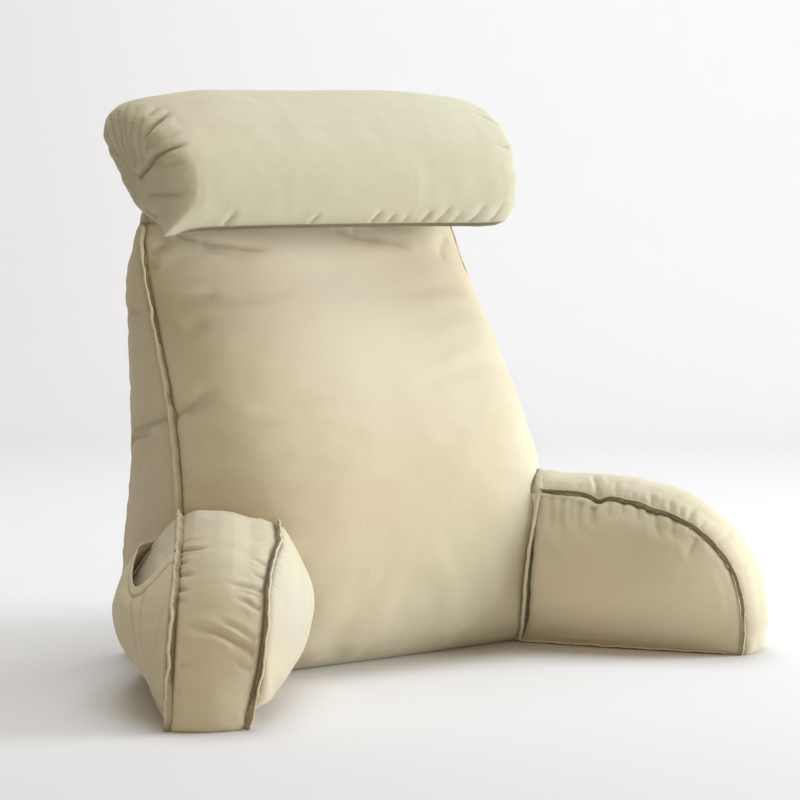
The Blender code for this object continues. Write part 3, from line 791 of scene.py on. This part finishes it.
# Soft pleats below the seam of the side panels, with places as ahead of the root and height.
panelCreases = dict(left=[], right=[
    [42, 20, 40, 300, 10, (90, 1690), (160, 1500), (260, 1300)],
    [42, 26, 40, 300, 12, (215, 1690), (300, 1500), (400, 1240)],
    [40, 28, 40, 300, 13, (345, 1690), (420, 1480), (520, 1240)],
    [36, 18, 40, 250, 8, (450, 1680), (520, 1500), (600, 1330)],
    [40, 28, 40, 300, 12, (560, 1660), (630, 1450), (710, 1240)],
    [32, 36, 20, 200, 16, (725, 1630), (770, 1500), (850, 1340)],
    [30, 18, 30, 140, 9, (880, 1660), (920, 1560), (970, 1450)],
    [28, 16, 30, 120, 9, (1020, 1665), (1060, 1580), (1110, 1490)],
    [30, 20, 30, 140, 10, (1180, 1660), (1230, 1560), (1290, 1440)],
    [26, 16, 30, 120, 10, (1290, 1640), (1340, 1560), (1390, 1480)],
    [34, 18, 30, 200, 10, (1380, 1610), (1470, 1450), (1580, 1250)],
    [30, 14, 30, 140, 8, (1620, 1500), (1650, 1380), (1690, 1260)],
    [34, 14, 30, 140, 7, (1900, 1310), (1880, 1180), (1850, 1060)]])
# Which side of each seam the painted shade of its fold and of its piping's flank lies on: 1 toward
# the strip, -1 toward the side panel.
shadeSide = dict(leftInner=1, leftOuter=1, rightInner=-1, rightOuter=-1)


def buildArm(side):
    arm, look = arms[side], armLook
    thing = padFrom(side + "ArmPad", "arm_" + side, look)
    names = (side + "Inner", side + "Outer")
    lines = [seamLines[name] for name in names]
    # the cloth goes with its seams where they leave their curve
    points = readPoints(thing.data)
    for name in names:
        _, away, best = alongPath(points, seamBase[name])
        points += seamMove[name][best] * bell(away, look["carried"])[:, None]
    setDown(thing.data, points)
    near = awayFrom(points, lines)
    calm(thing, np.minimum(near, points[:, 2] * 1.5), rounds=60, reach=0.020, back=0.5)
    _, y, z = readPoints(thing.data).T
    billow(thing, (near < look["held"]) | (z < look["sole"]) | (y > look["root"]), look)
    points = readPoints(thing.data)
    (ahead, across), z = armLocal(arm, points), points[:, 2]
    swell = np.clip(1 - (2 * across / stripWidth - 1) ** 2, 0, 1) * eased((0.07 - z) / 0.06)
    swell *= look["toe"] + look["heel"][side] * eased((0.022 - z) / 0.018)
    swell *= eased((ahead - arm["reach"] + 0.05) / 0.04)
    foot = eased((0.075 - z) / 0.06)
    drawn = look["tuck"][side] * foot * eased((across - stripWidth) / 0.02)
    drawn *= np.sin(np.pi * np.clip((ahead - 0.02) / (arm["reach"] - 0.02), 0, 1))
    drawn += look["foot"][side] * foot * eased(-across / 0.008)
    points += swell[:, None] * aheadWay(arm) - drawn[:, None] * acrossWay(arm)
    tail = look["tail"][side] * eased((0.03 - ahead) / 0.03) * eased((z - 0.10) / 0.04)
    points += tail[:, None] * (np.array([0, 0, 0.45]) - aheadWay(arm))
    table, (low, high) = np.array(plump[side]), look["plumpRise"][side]
    full = np.interp(across, table[:, 0], table[:, 1]) * eased((z - low) / (high - low))
    z += full * eased((ahead + 0.02) / look["plumpFrom"][side])
    writePoints(thing.data, points)
    rows = [dict(row, path=stripPath(arm, thing, row["places"]),
                 depth=row["depth"] * look["creaseShare"][side])
            for row in creases(stripCreases[side], soft=1.7, lip=0.26)]
    rows += [dict(row, path=panelPath(arm, thing, row["places"]), depth=row["depth"] * 1.5,
                  dark=row["dark"] * 1.8) for row in creases(panelCreases[side])]
    height, shade = creaseField(points, rows)
    for name, line, middle, sign in zip(names, lines, (0.0, stripWidth), (1, -1)):
        along, away, best = alongPath(points, line)
        along = along - seamTail
        middle = middle + ((line - seamBase[name]) @ acrossWay(arm))[best]
        strip = passing(sign * (across - middle), 0.0016)
        signed = away * np.where(strip > 0.5, 1, -1) * shadeSide[name]
        height += pinch(away, look["pinch"])
        # painted shade in the folds beside the piping
        for at, width, share in look["foldShade"]:
            shade = np.maximum(shade, share * bell(signed - at, width))
        height += strip * puckerField(along, away, strewn(31 + sign, *look["stripPuckers"]))
        height += (1 - strip) * puckerField(along, away, strewn(41 + sign, *look["panelPuckers"]))
    return finishPad(thing, "arm_" + side, "body_cloth", height, shade)


# The roll's ends, its middle, drawnEnds and coneFrom are given by x, topFrom and drawnBelow by z,
# its axis and its lengthwise seam by y and z.
rollLook = dict(voxel=0.0038, rounds=26, cap=0.0006, share=0.15, slack=0.04, fill=0.75,
                left=-0.239, right=0.227, middle=-0.006, axis=(0.0238, 0.522), radius=0.080,
                slump=0.009, slumpFrom=0.115, slumpTo=0.235, sink=0.003, topFrom=0.530,
                topOver=0.075, drawn=0.0075, drawnBelow=0.560, drawnEnds=(-0.180, 0.168),
                cone=0.018, coneFrom=-0.183, corner=(-0.209, -0.033, 0.457), cornerReach=0.025,
                cornerMove=(-0.018, -0.002, -0.003), tipReach=0.010,
                tipMove=(-0.009, -0.002, -0.006), gather=(-0.232, 0.0238, 0.511),
                mirroredShare=0.4, seam=(-0.034, 0.4600), seamPinch=0.0016)
# Creases of the left end, with places as x, y and z; the right end has them mirrored.
endCreases = [
    [23, 66, 0, 240, 62, (-2253, 306, 5138), (-2225, 249, 5211), (-2239, 95, 5273),
     (-2245, -44, 5344), (-2230, -165, 5385), (-2134, -266, 5431), (-1992, -307, 5498)],
    [23, 58, 120, 220, 58, (-2320, 71, 5509), (-2307, 8, 5591), (-2277, -2, 5642),
     (-2185, 14, 5715), (-2085, 44, 5768), (-1975, 91, 5822)],
    [20, 20, 60, 80, 24, (-2290, 85, 5417), (-2294, 33, 5478), (-2280, -26, 5550)],
    [22, 26, 80, 140, 24, (-2253, 125, 5726), (-2170, 145, 5800), (-2043, 222, 5875)],
    [36, 16, 80, 200, 10, (-2247, -49, 5416), (-2238, -180, 5497), (-2155, -201, 5549),
     (-2014, -183, 5622)],
    [30, 24, 60, 140, 24, (-2252, 162, 4941), (-2233, 6, 4963), (-2180, -172, 4954),
     (-2069, -400, 4956)],
    [44, 16, 100, 160, 14, (-2193, -34, 5273), (-2172, -310, 5282), (-2062, -405, 5282)],
    [24, 42, 60, 60, 42, (-2240, 200, 4850), (-2260, 120, 4760), (-2230, 40, 4680)],
    [24, 34, 40, 60, 38, (-2212, 68, 4756), (-2174, 10, 4751), (-2160, -40, 4716)]]
# Long ribs of the upper end, from the rim to the gather, as places like those above.
endRibs = [
    [(-2365, 860, 5700), (-2381, 760, 5578), (-2348, 670, 5420), (-2296, 550, 5263)],
    [(-2329, 741, 5808), (-2378, 631, 5628), (-2337, 601, 5451), (-2280, 493, 5231)],
    [(-2321, 578, 5858), (-2378, 499, 5679), (-2331, 525, 5502), (-2268, 450, 5231)],
    [(-2282, 476, 5887), (-2352, 395, 5729), (-2320, 435, 5523), (-2250, 417, 5210)],
    [(-2218, 355, 5886), (-2339, 247, 5727), (-2303, 359, 5522), (-2241, 391, 5190)],
    [(-2270, 140, 5780), (-2330, 140, 5620), (-2300, 230, 5420), (-2250, 300, 5230)]]
# The far ends of the ribs lower down, which run straight to the gather.
lowRibs = [
    (-2280, 890, 5530), (-2290, 860, 5350), (-2300, 780, 5150), (-2300, 660, 4970),
    (-2310, 500, 4820), (-2310, 340, 4700)]
# Small tucks above the lengthwise seam in tenths of a millimetre: x of both ends, how high they
# go, width and depth.
rollTucks = [
    (-1630, -1520, 130, 26, 22), (-560, -470, 100, 24, 18), (220, 320, 140, 24, 22),
    (440, 500, 90, 22, 16), (880, 980, 120, 24, 20), (1080, 1220, 170, 28, 17),
    (1310, 1390, 110, 26, 12), (1540, 1700, 200, 30, 19), (1810, 1960, 220, 32, 17),
    (640, 680, 80, 24, 10)]


def lowRib(end):
    gather, t = np.array(rollLook["gather"]), np.array([0.10, 0.40, 0.72, 1.0])[:, None]
    path = gather + (np.array(end) / 10000 - gather) * t
    path[:, 0] = -0.240 + np.array([0.006, 0.0, 0.002, 0.018])
    return crease(path, 28, 15, 120, 240, 18)


def rollTuck(a, b, rise, width, depth):
    a, b, rise = np.array((a, b, rise)) / 10000
    return crease([(a, -0.037, 0.462), ((a + b) / 2, -0.048, 0.464 + rise * 0.5),
                   (b, -0.052, 0.466 + rise)], width, depth, 0, 120, 16)


def mirrored(row):
    places = row["places"].copy()
    places[:, 0] = 2 * rollLook["middle"] - places[:, 0]
    share = rollLook["mirroredShare"]
    return dict(row, places=places, depth=share * row["depth"], dark=share * row["dark"])


def buildRoll():
    look = rollLook
    thing = padFrom("rollPad", "neck_roll", look)
    points = readPoints(thing.data)
    x, y, z = points.T
    # the filling slumps toward both ends, so the top sinks there
    share = eased((np.abs(x - look["middle"]) - look["slumpFrom"])
                  / (look["slumpTo"] - look["slumpFrom"]))
    above = eased((z - look["topFrom"]) / look["topOver"])
    z -= look["slump"] * share * above * np.where(x < 0, 1.0, 0.4)
    z -= look["sink"] * above * eased((0.12 - x) / 0.2)
    # below the gather the ends are drawn in
    drawn, (left, right) = look["drawn"] * eased((look["drawnBelow"] - z) / 0.05), look["drawnEnds"]
    x += drawn * eased((left - x) / 0.050) - drawn * eased((x - right) / 0.050)
    # the corner where the lengthwise seam meets the left end hangs down
    gap = ((points - np.array(look["corner"])) ** 2).sum(1)
    corner, tip = (np.exp(-gap / look[reach] ** 2) for reach in ("cornerReach", "tipReach"))
    # toward the front the left end is a cone round its gather, with a tight rim
    rim = np.hypot(y - look["axis"][0], z - look["axis"][1]) / look["radius"]
    cone = look["cone"] * np.clip(rim, 0, 1) ** 1.5 * eased((look["coneFrom"] - x) / 0.055)
    x += cone * eased((0.045 - y) / 0.06) * (1 - corner)
    writePoints(thing.data, points)
    calm(thing, np.ones(len(points)), rounds=140)
    points = readPoints(thing.data)
    points += (corner[:, None] * np.array(look["cornerMove"])
               + tip[:, None] * np.array(look["tipMove"]))
    writePoints(thing.data, points)
    x, y, z = points.T
    ends = (x < look["left"] + 0.010) | (x > look["right"] - 0.010)
    billow(thing, ends | (np.hypot(y + 0.032, z - 0.462) < 0.005), look)
    points = readPoints(thing.data)
    x, y, z = points.T
    rows = creases(endCreases) + creases([[23, 26, 100, 160, 24, *rib] for rib in endRibs])
    rows += [lowRib(end) for end in lowRibs]
    rows += [mirrored(row) for row in rows] + [rollTuck(*row) for row in rollTucks]
    height, shade = creaseField(points, creasesOn(thing, rows))
    away = np.hypot(y - look["seam"][0], z - look["seam"][1])
    body = np.clip((0.222 - np.abs(x - look["middle"])) / 0.02, 0, 1)
    height += body * pinch(away, look["seamPinch"], width=0.007)
    # painted shade in the groove of the lengthwise seam
    shade = np.maximum(shade, body * 0.95 * bell(away, 0.0020))
    # painted shade on the cloth under the lengthwise seam, which lies in the fold between roll and
    # backrest
    under = body * eased((y + 0.036) / 0.004) * eased((0.470 - z) / 0.01)
    shade = np.maximum(shade, 1.05 * under * np.exp(-(away / 0.026) ** 4))
    finishPad(thing, "neck_roll", "roll_cloth", height, shade)


# nudge takes the piping at the arms' roots toward the arm, lowered takes its top down. Ripples
# are sums of sines along the line: which phase, how large and how quick. The frayed foot has one
# of its own.
weltLook = dict(half=0.00145, top=0.0020, skirt=0.0065, sides=14, wander=0.00045, wave=0.0003,
                wanderRipples=[(0, 1, 150), (1, 0.7, 277), (2, 0.25, 700)],
                waveRipples=[(3, 1, 230), (4, 0.7, 610)],
                thickRipples=[(5, 0.08, 390), (6, 0.06, 1010)], footRipples=[(7, 1, 1400)],
                frayTop=0.016, endRound=0.003, nudge=0.0022, lowered=0.004)
# How dark the painted shade on each piping's shaded flank is, how far it is sunk, its size, how
# much darker its foot is made near the floor, how loosely it wanders and how dark the painted
# shade underneath it is.
weltRows = dict(
    backLeft=dict(dark=0.35, sink=0.0004),
    backRight=dict(sink=0.0066, size=0.65, under=0.1),
    leftInner=dict(dark=0.80, sink=0.0008, size=0.9, footDark=0.8),
    leftOuter=dict(dark=0.50, size=1.2, footDark=0.7),
    rightInner=dict(dark=0.90, sink=0.0006, size=0.65),
    rightOuter=dict(sink=0.0010, size=0.8, footDark=0.0),
    rootLeft=dict(sink=0.0065, size=0.6), rootRight=dict(size=1.4, sink=0.0010, loose=0.35),
    soleLeft=dict(size=0.55), soleRight=dict(size=0.55))


def ripple(run, phase, rows, start=0):
    return sum((size * np.sin(run * rate + phase[index]) for index, size, rate in rows), start)


# A folded edge of cloth that stands on its seam: an egg-shaped profile carried along the line,
# standing away from the pads, with a slightly wandering and wavy top. `toward` points to the side
# where the flank gets painted shade.
def buildWelt(name, node, line, pads, seed, toward=(0, 0, 0), size=1.0, sink=0.0, dark=0.0,
              footDark=0.2, loose=1.0, under=0.6):
    look, line = weltLook, evenSteps(line, weltStep)
    away = np.zeros_like(line)
    for pad in pads:
        away += unit(line - ontoSurface(line, pad))
    way = unit(np.gradient(line, axis=0))
    away = unit(squareTo(way, smoothed(away, 40)))
    cross = np.cross(way, away)
    line = line - away * sink
    run = np.arange(len(line)) * weltStep
    phase = np.random.default_rng(seed).uniform(0, 6.28, 8)
    wander = look["wander"] * ripple(run, phase, look["wanderRipples"])
    wave = look["wave"] * ripple(run, phase, look["waveRipples"])
    thick = ripple(run, phase, look["thickRipples"], 1)
    frayed = np.clip(1 - line[:, 2] / look["frayTop"], 0, 1)
    wander = wander * (1 + 1.6 * frayed) + frayed * 0.0008 * ripple(run, phase, look["footRipples"])
    ends = np.minimum(run, run[-1] - run) / look["endRound"]
    rounded = np.sqrt(np.clip(1 - (1 - np.clip(ends, 0.02, 1)) ** 2, 0, 1))
    angle = np.linspace(0, 2 * np.pi, look["sides"], endpoint=False)[None]
    upper = np.sin(angle) > 0
    half = np.where(upper, look["half"], look["half"] * 0.85) * size
    tall = np.where(upper, look["top"], look["skirt"]) * size
    sideways = (half * np.cos(angle) * (thick * rounded)[:, None]
                + wander[:, None] * size * loose)
    upward = tall * np.sin(angle) * rounded[:, None] + wave[:, None] * size * loose
    points = (line[:, None] + cross[:, None] * sideways[..., None]
              + away[:, None] * upward[..., None])
    points[..., 2] = np.maximum(points[..., 2], 0.0004)
    thing = linkNew(name, gridMesh(name, points, wrap=True))
    # Painted shade underneath and on the flank turned toward `toward`, less at its top and rippling
    # along the line; the foot is also made darker near the floor.
    shade = np.clip(0.10 - np.sin(angle) * under, 0, 1) + 0 * line[:, :1]
    flank = (cross * np.asarray(toward)).sum(1, keepdims=True) * np.cos(angle)
    crown = 1 - 0.85 * eased((np.sin(angle) - 0.35) / 0.5)
    shadeRipple = 0.86 + 0.14 * np.sin(run * 800 + phase[5]) * np.sin(run * 2100 + phase[6])
    shade = np.maximum(shade, dark * eased(0.45 + 1.4 * flank) * crown * shadeRipple[:, None])
    shade = np.maximum(shade, footDark * frayed[:, None])
    writePaintedShade(thing.data, np.concatenate([shade.ravel(), [0.5, 0.5]]))
    dress(thing, node, "welt_cloth")


# The stretch of a seam beside which its piping solid lies, moved onto the solid's middle line.
def onSolid(name, node):
    line, move, solid = seamBase[name], seamMove[name], pipingPoints(node)
    gap = np.sqrt(((line[:, None] - solid[None]) ** 2).sum(2).min(1))
    kept = np.flatnonzero(gap < 0.013)
    line, move = line[kept[0]:kept[-1] + 1], move[kept[0]:kept[-1] + 1]
    weight = np.exp(-((line[:, None] - solid[None]) ** 2).sum(2) / 0.012 ** 2)
    shift = (weight[..., None] * (solid[None] - line[:, None])).sum(1)
    shift = shift / weight.sum(1, keepdims=True)
    shift = squareTo(unit(np.gradient(line, axis=0)), shift)
    return line + smoothed(shift, 60) + move


def buildWelts(back, pads):
    seed = 70
    for side in ("left", "right"):
        arm, pad, title = arms[side], pads[side], side.capitalize()
        node = "welt_back_" + side
        buildWelt("backWelt" + title, node, onSolid("back" + title, node), [back], seed,
                  (-arm["side"], 0, 0), **weltRows["back" + title])
        for edge, inward in (("Inner", 1), ("Outer", -1)):
            node, seam = "welt_arm_" + side + "_" + edge.lower(), side + edge
            seed += 1
            buildWelt("armWelt" + title + edge, node, onSolid(seam, node), [pad], seed,
                      acrossWay(arm) * inward * shadeSide[seam], **weltRows[seam])
        seed += 1
        node = "welt_root_" + side
        line = pipingLine(node, lambda points: np.arctan2(
            armLocal(arm, points)[1] - stripWidth / 2, points[:, 2] - 0.02))
        line[:, 2] -= weltLook["lowered"] * eased((line[:, 2] - 0.13) / 0.03)
        line = line + weltLook["nudge"] * aheadWay(arm)
        buildWelt("rootWelt" + title, node, line, [back, pad], seed, **weltRows["root" + title])
        node = "welt_sole_" + side
        line = pipingLine(node, lambda points: armLocal(arm, points)[0])
        buildWelt("soleWelt" + title, node, line, [pad], seed + 20, **weltRows["sole" + title])
    print("piping done")


pocketLook = dict(rear=0.015, front=0.0015, bottom=0.022, hemRear=0.149, hemFront=0.159,
                  dip=0.030, dipAt=0.72, dipWidth=0.17, sag=0.024, thick=0.0013, hemWidth=0.0065,
                  hemThick=0.0011, hemLine=(0.0016, 0.0011), edgeLine=(0.003, 0.0012),
                  columns=120, rows=80)
# Stitched lines down the pocket and a soft fold, with places as ahead of the root and height.
pocketStitches = [
    [14, 20, 0, 200, 50, (1475, 1155), (1560, 1090), (1680, 970), (1780, 840), (1860, 700),
     (1910, 580)],
    [13, 16, 0, 200, 40, (1600, 1205), (1690, 1120), (1800, 990), (1890, 840), (1970, 700),
     (2020, 580)]]
pocketFolds = [[24, 12, 100, 200, 12, (1860, 1280), (2020, 1080), (2140, 850), (2200, 620)]]


# The pocket: a grid over the outer panel, from its bottom up to a dipping hem. Each point lies on
# the arm, and toward the hem it stands away sideways, most in the middle.
def buildPocket(armPad):
    arm, look = arms["left"], pocketLook
    u, v = np.meshgrid(np.linspace(0, 1, look["columns"]), np.linspace(0, 1, look["rows"]))
    hem = look["hemRear"] + (look["hemFront"] - look["hemRear"]) * u ** 3
    hem = hem - look["dip"] * bell(u - look["dipAt"], look["dipWidth"])
    tall = hem - look["bottom"]
    z = look["bottom"] + tall * v
    seam = arm["reach"] * (1 - (z / arm["height"]) ** armPower) ** (1 / armPower)
    long = seam - look["front"] - look["rear"]
    ahead = look["rear"] + long * u
    rise = np.clip(panelRise(arm, ahead, z), 0, 1)
    guess = armPlace(arm, ahead, stripWidth + arm["outer"] * rise, z).reshape(-1, 3)
    close, off = ontoSurface(guess, armPad, 0.0007), ontoSurface(guess, armPad, 0.004)
    opened = look["sag"] * np.sin(np.pi * u ** 0.9) ** 1.5 * v ** 1.3
    opened = opened * (1 - 0.25 * eased((v - 0.8) / 0.2))
    below = ((1 - v) * tall).ravel() - look["hemWidth"]
    rows = creases(pocketStitches, soft=2.0) + creases(pocketFolds)
    rows = [dict(row, path=panelPath(arm, armPad, row["places"], "outer")) for row in rows]
    stitches, stitchShade = creaseField(close, rows)
    (hemAt, hemWide), (edgeAt, edgeWide) = look["hemLine"], look["edgeLine"]
    hemLine = bell(below - hemAt, hemWide)
    rearEdge, frontEdge = (u * long).ravel(), ((1 - u) * long).ravel()
    edgeLine = bell(rearEdge - edgeAt, edgeWide)
    lift = look["hemThick"] / (1 + np.exp(below / 0.0008)) + stitches
    lift = lift - 0.0008 * hemLine - 0.0005 * edgeLine - 0.0014 * bell(frontEdge, 0.0035)
    points = (close + unit(off - close) * np.maximum(lift, -0.0009)[:, None]
              + acrossWay(arm) * opened.reshape(-1, 1))
    grid = points.reshape(look["rows"], look["columns"], 3)
    cells = np.cross(grid[1:, :-1] - grid[:-1, :-1], grid[:-1, 1:] - grid[:-1, :-1])
    mesh = gridMesh("armPocket", grid)
    # painted shade in the dents along the hem and the rear edge, along the stitched lines and at
    # the front edge beside the seam
    writePaintedShade(mesh, np.maximum.reduce([0.50 * hemLine, 0.30 * edgeLine, stitchShade,
                                        0.5 * bell(frontEdge, 0.0022)]))
    if mesh.polygons[0].normal.dot(Vector(acrossWay(arm))) < 0:
        mesh.flip_normals()
    thing = linkNew("armPocket", mesh)
    thick = thing.modifiers.new("cloth", "SOLIDIFY")
    thick.thickness = look["thick"]
    thick.offset = 1.0
    bakeModifiers(thing)
    dress(thing, "arm_pocket", "body_cloth")


stageLook = dict(tone=(0.735, 0.735, 0.74, 1), reach=7.0, wall=3.2, bend=1.2, turn=34.8)


# A floor that bends up into a wall: a straight run, a quarter circle and a straight rise.
def buildStage():
    look = stageLook
    t = np.linspace(0, np.pi / 2, 24)
    depth = np.r_[-6.0, look["wall"] + look["bend"] * np.sin(t) - look["bend"], look["wall"]]
    lift = np.r_[0.0, look["bend"] * (1 - np.cos(t)), 6.0]
    across = np.linspace(-look["reach"], look["reach"], 3)
    turn = radians(look["turn"])
    points = np.stack([across[None] * np.cos(turn) + depth[:, None] * np.sin(turn),
                       depth[:, None] * np.cos(turn) - across[None] * np.sin(turn),
                       lift[:, None] + 0 * across[None]], axis=-1)
    sweep = linkNew("sweep", gridMesh("sweep", points))
    sweep.data.materials.append(Graph("paleFloor").shaded({
        "Base Color": look["tone"], "Roughness": 0.9, "Specular IOR Level": 0.1}))


lights = dict(
    key=dict(place=(2.88, -1.87, 0.84), aim=(0, 0, 0.27), size=1.5, power=146,
             tone=(0.965, 1, 1.08)),
    fill=dict(place=(-1.7, -2.9, 0.9), aim=(0, 0, 0.3), size=2.4, power=31, tone=(1, 0.83, 0.60)),
    top=dict(place=(0.3, 0.2, 3.0), aim=(0, 0, 0.3), size=2.2, power=53, tone=(0.95, 1.01, 1.09)),
    wallWash=dict(place=(0.4, 1.2, 3.0), aim=(2.0, 3.4, 0.6), size=2.4, power=30, tone=(1, 1, 1)))
worldLook = dict(tone=(1.0, 0.86, 0.66, 1), strength=0.27, view="Standard")
cameraLook = dict(lens=113.33, sensor=36, place=(-1.5078, -2.2913, 0.5238),
                  aim=(0.0191, -0.095, 0.2767))


def aimAt(thing, place, aim):
    thing.location = place
    thing.rotation_euler = (Vector(aim) - Vector(place)).to_track_quat("-Z", "Y").to_euler()
    bpy.context.scene.collection.objects.link(thing)


def buildLights():
    for name, row in lights.items():
        data = bpy.data.lights.new(name, "AREA")
        data.size, data.energy, data.color = row["size"], row["power"], row["tone"]
        aimAt(bpy.data.objects.new(name, data), row["place"], row["aim"])
    world = bpy.data.worlds.new("studio")
    bpy.context.scene.world = world
    world.use_nodes = True
    world.node_tree.nodes["Background"].inputs[0].default_value = worldLook["tone"]
    world.node_tree.nodes["Background"].inputs[1].default_value = worldLook["strength"]
    bpy.context.scene.view_settings.view_transform = worldLook["view"]


def buildCamera():
    data = bpy.data.cameras.new("camera")
    data.lens, data.sensor_width = cameraLook["lens"], cameraLook["sensor"]
    camera = bpy.data.objects.new("camera", data)
    aimAt(camera, cameraLook["place"], cameraLook["aim"])
    bpy.context.scene.camera = camera


buildCamera()
buildStage()
buildLights()
backPad = buildBack()
armPads = dict(left=buildArm("left"), right=buildArm("right"))
buildRoll()
buildPocket(armPads["left"])
buildWelts(backPad, armPads)
